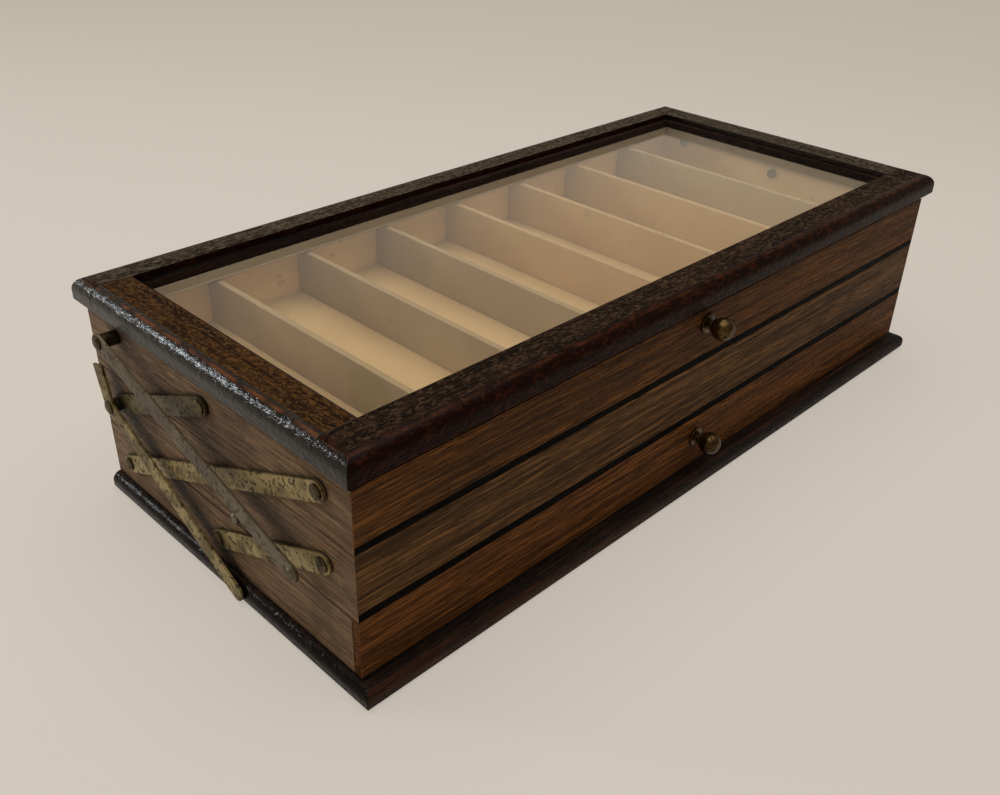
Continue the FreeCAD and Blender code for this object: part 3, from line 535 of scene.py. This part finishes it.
def finish_case():
    """Oak boards of the base and the three tiers."""
    # The end boards' wide reach darkens them around the links: dirt and painted shadow of the links.
    ends = case_oak("end_oak", "y", srgb(100, 77, 55), srgb(130, 104, 79), srgb(144, 118, 91),
                    srgb(106, 64, 32), cloud=0.3, reach=0.032, fine=1.7)
    tints = {
        "top": case_oak("top_oak", "x", srgb(58, 36, 17), srgb(88, 56, 26), srgb(114, 73, 34),
                        srgb(140, 86, 38), streak=0.15, fine=1.6, gloss=0.06),
        "middle": case_oak("middle_oak", "x", srgb(62, 43, 24), srgb(94, 66, 38), srgb(120, 85, 50),
                           srgb(112, 75, 41), streak=0.1, fine=1.6, gloss=0.06),
        "bottom": case_oak("bottom_oak", "x", srgb(64, 38, 18), srgb(98, 61, 29), srgb(124, 77, 37),
                           srgb(128, 73, 32), streak=0.15, fine=1.6, gloss=0.06),
    }
    # Near-black: the tray panels' own dark edge, darkened further as painted shade of the gap line under
    # it.
    panel = case_oak("panel_board", "x", srgb(5, 5, 4), srgb(9, 8, 7), srgb(16, 15, 12),
                     srgb(24, 21, 16), gloss=0.02)
    for tier, front in (("top", "top_front"), ("middle", "middle_front"), ("bottom", "drawer_front")):
        dress(front, tints[tier], BOARD_EDGE)
        dress(tier + "_back", tints[tier], BOARD_EDGE)
        for side in ("left", "right"):
            dress("%s_end_%s" % (tier, side), ends, END_BOARD_EDGE, (panel,), seam_part)
    base = case_oak("base_oak", "x", srgb(12, 7, 5), srgb(28, 15, 9), srgb(46, 26, 15),
                    srgb(112, 58, 24), streak=0.25)
    base_mould = mould_oak("base_mould_oak", "y", srgb(14, 9, 6), srgb(32, 20, 13),
                           gloss=0.1, wear_and_shade_share=0.1)
    dress("base_board", base, BOARD_EDGE, (base_mould,), end_part)
    for node in ("top_bottom", "middle_bottom"):
        dress(node, panel, BOARD_EDGE, (ends,), end_part)


def finish_lid():
    """Frame, beads and pane of the lid."""
    ledge = card("ledge_card", srgb(189, 180, 162), srgb(180, 170, 152))
    tops = {
        "rail_front": lid_top_oak("front_rail_oak", "x",
                                  srgb(18, 11, 6), srgb(46, 30, 18), srgb(70, 53, 36)),
        # The back rail and the right stile take a greyer tint: painted sheen of grazing light on the far
        # boards.
        "rail_back": lid_top_oak("back_rail_sheen_oak", "x",
                                 srgb(30, 24, 17), srgb(66, 57, 45), srgb(94, 84, 68)),
        "stile_left": lid_top_oak("left_stile_oak", "y",
                                  srgb(30, 16, 7), srgb(67, 42, 18), srgb(91, 61, 28)),
        "stile_right": lid_top_oak("right_stile_sheen_oak", "y",
                                   srgb(30, 24, 17), srgb(66, 57, 45), srgb(94, 84, 68)),
    }
    rail_mould = mould_oak("rail_mould_oak", "x", srgb(22, 8, 4), srgb(54, 23, 11),
                           gloss=0.04, wear_and_shade_share=0.2)
    end_mould = mould_oak("end_mould_oak", "y", srgb(16, 9, 5), srgb(36, 21, 12),
                          gloss=0.3, wear_and_shade_share=0.6)
    for board, top in tops.items():
        long_mould = rail_mould if board.startswith("rail") else end_mould
        dress("lid_" + board, top, FINE_EDGE, (long_mould, ledge, end_mould), lid_part)
    bead = case_oak("bead_oak", "x", srgb(14, 7, 5), srgb(28, 14, 9), srgb(46, 26, 16),
                    srgb(58, 32, 18))
    dress("glazing_beads", bead, FINE_EDGE)
    coat("glass_pane", pane_glass())


def finish_inside():
    """Linings, partitions and the drawer's box."""
    # Lining floors and partition tops take the darker upper tone: painted shade.
    lining = card("lining_card", srgb(238, 202, 146), srgb(226, 190, 134), upper=srgb(178, 149, 100))
    partition = card("partition_card", srgb(172, 146, 104), srgb(160, 134, 94), upper=srgb(146, 123, 88),
                     stain=GLUE_STAIN_PLACE)
    newer = card("newer_card", srgb(198, 162, 109), srgb(188, 153, 101), upper=srgb(160, 131, 89))
    for tier in ("top", "middle"):
        coat(tier + "_lining", lining)
        dress(tier + "_partitions", partition, CARD_EDGE, (newer,), newer_part)
    coat("drawer_lining", lining)
    tints = srgb(92, 64, 38), srgb(146, 110, 70), srgb(172, 136, 92)
    long_wood = plain_wood("drawer_wood", "x", *tints)
    cross_wood = plain_wood("drawer_side_wood", "y", *tints)
    for node in ("drawer_inner_front", "drawer_back", "drawer_bottom"):
        dress(node, long_wood, CARD_EDGE)
    for node in ("drawer_sides", "drawer_runners"):
        dress(node, cross_wood, CARD_EDGE)


def finish_metal():
    """Links, legs, pivots, hinges, knobs and screws."""
    strip = brass("strip_brass", srgb(160, 142, 96), srgb(112, 98, 62), srgb(46, 37, 21))
    dull_strip = brass("dull_strip_brass", srgb(108, 96, 64), srgb(84, 74, 48), srgb(40, 32, 19))
    straight_leg = brass("leg_metal", srgb(108, 97, 78), srgb(92, 82, 64), srgb(72, 62, 46),
                         depth=0.0001)
    pivot = brass("pivot_brass", srgb(98, 84, 54), srgb(72, 61, 39), srgb(30, 24, 15))
    knob = brass("knob_brass", srgb(88, 66, 34), srgb(60, 44, 22), srgb(24, 17, 10),
                 depth=0.0001, polish=0.6)
    steel = brass("screw_steel", srgb(120, 112, 98), srgb(88, 82, 72), srgb(44, 38, 30))
    for side in ("left", "right"):
        for bar in ("long_link", "lower_link", "middle_leg"):
            dress("%s_%s" % (bar, side), strip, FINE_EDGE)
        dress("upper_link_" + side, dull_strip, FINE_EDGE)
        dress("top_leg_" + side, straight_leg, FINE_EDGE)
        coat("top_leg_rivet_" + side, straight_leg)
    washer = brass("washer_brass", srgb(74, 62, 40), srgb(54, 45, 29), srgb(24, 19, 12))
    for tier in ("bottom", "middle", "top"):
        for kind in ("bolts", "nuts"):
            coat("%s_%s" % (tier, kind), pivot)
        coat(tier + "_washers", washer)
    for node in ("tray_hinge_leaves", "lid_hinge_leaves"):
        coat(node, pivot)
    for node in ("top_knob", "drawer_knob"):
        dress(node, knob, FINE_EDGE)
    for node in ("hinge_pins", "stop_screws", "top_knob_screw", "drawer_knob_screw"):
        coat(node, steel)


# Floor, light and camera

def lay_floor():
    """Plain pale sweep that the case stands on, with a faint shadow."""
    size = FLOOR_HALF_SIZE
    corners = [(-size, -size, 0), (size, -size, 0), (size, size, 0), (-size, size, 0)]
    data = bpy.data.meshes.new("floor")
    data.from_pydata(corners, [], [(0, 1, 2, 3)])
    floor = bpy.data.objects.new("floor", data)
    bpy.context.scene.collection.objects.link(floor)
    item, tree, surface = material("pale_floor")
    surface.inputs["Base Color"].default_value = srgb(216, 208, 197)
    surface.inputs["Roughness"].default_value = 0.85
    place = put(tree, "TexCoord").outputs["Object"]
    axes = put(tree, "SeparateXYZ", Vector=place).outputs
    # Seen from the camera the floor glows darker towards the back and right: painted falloff of the
    # light.
    across = product(tree, axes["X"], 1.6)
    far = fade(tree, calc(tree, "ADD", across, axes["Y"]), -0.2, 2.6)
    outer = fade(tree, vector_calc(tree, "LENGTH", place, output="Value"), 1.5, 5.0)
    far = calc(tree, "MAXIMUM", far, outer)
    glow = put(tree, "Emission", Color=mix(tree, far, NEAR_FLOOR, FAR_WALL))
    path = put(tree, "LightPath").outputs
    seen = calc(tree, "MAXIMUM", path["Is Camera Ray"], path["Is Transmission Ray"])
    seen = calc(tree, "MAXIMUM", seen, path["Is Glossy Ray"])
    blend_surface(tree, product(tree, seen, ease(tree, outer, 0.7, 1.0)), surface, glow)
    data.materials.append(item)


def aim(item, place, target):
    """Stand a lamp or camera at a place and turn it to its target."""
    item.location = place
    item.rotation_mode = "QUATERNION"
    item.rotation_quaternion = (Vector(target) - Vector(place)).to_track_quat("-Z", "Y")


def softbox(name, place, size, watts, tint):
    """A square lamp that looks at the case."""
    lamp = bpy.data.lights.new(name, "AREA")
    lamp.shape = "SQUARE"
    lamp.size = size
    lamp.energy = watts
    lamp.color = tint
    item = bpy.data.objects.new(name, lamp)
    bpy.context.scene.collection.objects.link(item)
    aim(item, place, CASE_MIDDLE)


def light():
    """Dim room with a wide ceiling light and a small window at the back left."""
    world = bpy.data.worlds.new("room")
    bpy.context.scene.world = world
    world.use_nodes = True
    tree = world.node_tree
    way = put(tree, "SeparateXYZ", Vector=put(tree, "TexCoord").outputs["Generated"]).outputs
    haze = product(tree, fade(tree, way["Z"], 0.55, 0.25), fade(tree, way["Y"], -0.2, 0.4))
    sky = tree.nodes["Background"]
    colour = mix(tree, haze, srgb(158, 149, 137), srgb(198, 188, 170))
    seen = put(tree, "LightPath").outputs["Is Camera Ray"]
    wire(tree, sky.inputs["Color"], mix(tree, seen, colour, FAR_WALL))
    softbox("window", (-1.45, 1.9, 1.15), size=0.4, watts=12, tint=(0.88, 0.95, 1.0))
    softbox("ceiling", (0.0, 0.0, 2.2), size=2.6, watts=42, tint=(1.0, 0.98, 0.94))


def place_camera():
    """Above the front left corner, with a slight roll."""
    data = bpy.data.cameras.new("camera")
    data.sensor_width = 36.0
    data.lens = CAMERA_LENS
    data.clip_start = 0.01
    camera = bpy.data.objects.new("camera", data)
    bpy.context.scene.collection.objects.link(camera)
    aim(camera, CAMERA_PLACE, CAMERA_TARGET)
    camera.rotation_quaternion @= Quaternion((0, 0, 1), CAMERA_ROLL)
    bpy.context.scene.camera = camera


make_oak_grain()
make_old_varnish()
make_edge_wear_and_shade()
make_corner_dirt_and_shade()
make_tarnish()
make_card_mottle()
finish_case()
finish_lid()
finish_inside()
finish_metal()
lay_floor()
light()
place_camera()
bpy.context.scene.view_settings.view_transform = "Standard"
